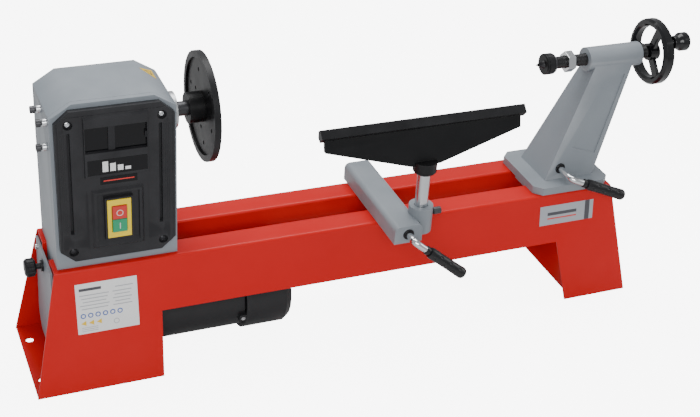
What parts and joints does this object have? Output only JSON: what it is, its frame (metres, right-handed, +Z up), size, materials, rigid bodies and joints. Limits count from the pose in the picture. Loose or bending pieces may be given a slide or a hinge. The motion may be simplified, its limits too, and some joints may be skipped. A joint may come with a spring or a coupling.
{
  "type": "wood lathe",
  "caption": "Bench-top wood-turning lathe: folded-sheet bed, belt-driven headstock with faceplate, adjustable tool rest and tailstock with live centre.",
  "frame": {"origin": "on the floor under the left foot plate, below the left end of the bed top, on the centre plane of the bed", "axes": "+X along the bed from the headstock to the tailstock, +Y away from the operator, +Z up"},
  "size_m": [0.9922, 0.2567, 0.4455],
  "materials": {
    "red_powder_coat": "glossy powder coat",
    "grey_paint": "satin paint on castings and sheet",
    "black_plastic": "fine-textured moulding",
    "handwheel_plastic": "glossy moulding",
    "window_plastic": "smoked glossy sheet",
    "switch_yellow": "glossy moulding",
    "button_red": "glossy moulding",
    "button_green": "glossy moulding",
    "black_steel": "black paint over cast iron",
    "motor_paint": "semi-gloss black",
    "blackened_steel": "blackened",
    "bright_steel": "bright plated",
    "plain_steel": "machined",
    "cast_aluminium": "machined casting",
    "belt_rubber": "ribbed flat belt"
  },
  "bodies": {
    "frame": {"front_rail": "red_powder_coat", "back_rail": "red_powder_coat", "left_foot_plate": "red_powder_coat", "right_foot_plate": "red_powder_coat", "left_bed_spacer": "grey_paint", "right_bed_spacer": "grey_paint", "headstock_shell": "grey_paint", "headstock_back_plate": "grey_paint", "headstock_front_frame": "grey_paint", "belt_cover": "black_plastic", "window_pane": "window_plastic", "cover_screw_1": "blackened_steel", "cover_screw_2": "blackened_steel", "cover_screw_3": "blackened_steel", "cover_screw_4": "blackened_steel", "side_screw_1": "blackened_steel", "side_screw_2": "blackened_steel", "side_screw_3": "blackened_steel", "switch_frame": "switch_yellow", "cable_gland": "black_plastic", "left_bearing_housing": "grey_paint", "left_bearing": "plain_steel", "right_bearing_housing": "cast_aluminium", "right_bearing": "plain_steel", "left_pivot_hanger": "grey_paint", "right_pivot_hanger": "grey_paint", "motor_pivot_pin": "plain_steel", "drive_belt": "belt_rubber"},
    "spindle": {"spindle_shaft": "blackened_steel", "spindle_pulley": "cast_aluminium", "faceplate": "black_steel"},
    "motor": {"motor_cradle": "grey_paint", "motor_housing": "motor_paint", "motor_fan_cover": "motor_paint"},
    "rotor": {"motor_rotor": "plain_steel", "motor_pulley": "cast_aluminium"},
    "tension_knob": {"tension_knob": "black_plastic"},
    "stop_button": {"stop_button": "button_red"},
    "start_button": {"start_button": "button_green"},
    "banjo_clamp": {"banjo_clamp_plate": "plain_steel"},
    "banjo_bolt": {"banjo_clamp_bolt": "plain_steel"},
    "banjo": {"banjo_body": "grey_paint", "banjo_bush": "black_plastic"},
    "banjo_lever": {"banjo_lever_rod": "bright_steel", "banjo_lever_grip": "black_plastic"},
    "rest_post": {"rest_post": "bright_steel"},
    "tool_rest": {"tool_rest": "black_steel"},
    "rest_lock_screw": {"rest_lock_screw": "blackened_steel"},
    "tailstock": {"tailstock_body": "grey_paint", "tailstock_bush": "black_plastic", "tailstock_clamp_plate": "plain_steel", "tailstock_clamp_bolt": "plain_steel"},
    "tailstock_lever": {"tailstock_lever_rod": "bright_steel", "tailstock_lever_grip": "black_plastic"},
    "centre_carrier": {"centre_bearing": "plain_steel"},
    "tail_screw": {"tail_screw": "blackened_steel", "handwheel": "handwheel_plastic"},
    "live_centre": {"live_centre": "blackened_steel"},
    "lock_nut": {"centre_lock_nut": "bright_steel"},
    "wheel_knob": {"handwheel_knob": "handwheel_plastic"}
  },
  "joints": [
    {"name": "spindle_spin", "type": "hinge", "parent": "frame", "child": "spindle", "pos_m": [0.0872, 0, 0.3705], "axis": [1, 0, 0], "continuous": true},
    {"name": "motor_swing", "type": "hinge", "parent": "frame", "child": "motor", "pos_m": [0.05585, 0.046, 0.16], "axis": [1, 0, 0], "range_deg": [-1.5, 1.5], "deforming": ["drive_belt"]},
    {"name": "motor_spin", "type": "hinge", "parent": "motor", "child": "rotor", "pos_m": [0.05585, 0, 0.0705], "axis": [1, 0, 0], "continuous": true},
    {"name": "tension_knob_turn", "type": "hinge", "parent": "frame", "child": "tension_knob", "pos_m": [-0.003, 0.01, 0.1513], "axis": [-1, 0, 0], "range_deg": [-720, 0]},
    {"name": "stop_button_press", "type": "slide", "parent": "frame", "child": "stop_button", "axis": [0, 1, 0], "range_m": [0, 0.003], "stiffness_N_per_m": 300},
    {"name": "start_button_press", "type": "slide", "parent": "frame", "child": "start_button", "axis": [0, 1, 0], "range_m": [0, 0.003], "stiffness_N_per_m": 300},
    {"name": "banjo_travel", "type": "slide", "parent": "frame", "child": "banjo_clamp", "axis": [1, 0, 0], "range_m": [-0.13, 0.1]},
    {"name": "banjo_swivel", "type": "hinge", "parent": "banjo_clamp", "child": "banjo_bolt", "pos_m": [0.4815, 0, 0.1815], "axis": [0, 0, 1], "range_deg": [-45, 28]},
    {"name": "banjo_reach", "type": "slide", "parent": "banjo_bolt", "child": "banjo", "axis": [0, -1, 0], "range_m": [-0.03, 0.045]},
    {"name": "banjo_lever_turn", "type": "hinge", "parent": "banjo", "child": "banjo_lever", "pos_m": [0.4815, -0.122, 0.1955], "axis": [0, 1, 0], "range_deg": [-75, 0]},
    {"name": "rest_height", "type": "slide", "parent": "banjo", "child": "rest_post", "axis": [0, 0, -1], "range_m": [-0.02, 0.03]},
    {"name": "rest_swivel", "type": "hinge", "parent": "rest_post", "child": "tool_rest", "pos_m": [0.512, -0.091, 0.25], "axis": [0, 0, 1], "continuous": true},
    {"name": "rest_lock_turn", "type": "hinge", "parent": "banjo", "child": "rest_lock_screw", "pos_m": [0.5295, -0.091, 0.2075], "axis": [1, 0, 0], "range_deg": [0, 720]},
    {"name": "tailstock_travel", "type": "slide", "parent": "frame", "child": "tailstock", "axis": [1, 0, 0], "range_m": [-0.1, 0]},
    {"name": "tailstock_lever_turn", "type": "hinge", "parent": "tailstock", "child": "tailstock_lever", "pos_m": [0.7695, -0.03598, 0.21], "axis": [0, 1, 0], "range_deg": [-75, 0]},
    {"name": "centre_advance", "type": "slide", "parent": "tailstock", "child": "centre_carrier", "axis": [-1, 0, 0], "range_m": [-0.02, 0.0125]},
    {"name": "handwheel_turn", "type": "hinge", "parent": "centre_carrier", "child": "tail_screw", "pos_m": [0.7825, 0, 0.3705], "axis": [-1, 0, 0], "range_deg": [-2880, 1800]},
    {"name": "centre_spin", "type": "hinge", "parent": "centre_carrier", "child": "live_centre", "pos_m": [0.7325, 0, 0.3705], "axis": [1, 0, 0], "continuous": true},
    {"name": "lock_nut_turn", "type": "hinge", "parent": "tail_screw", "child": "lock_nut", "pos_m": [0.7825, 0, 0.3705], "axis": [1, 0, 0], "range_deg": [-720, 720]},
    {"name": "wheel_knob_spin", "type": "hinge", "parent": "tail_screw", "child": "wheel_knob", "pos_m": [0.931, -0.03309, 0.39827], "axis": [1, 0, 0], "continuous": true}
  ],
  "couplings": [
    {"joint": "motor_spin", "follows": "spindle_spin", "ratio": 1.2143},
    {"joint": "centre_advance", "follows": "handwheel_turn", "m_per_rad": 0.00039789}
  ]
}
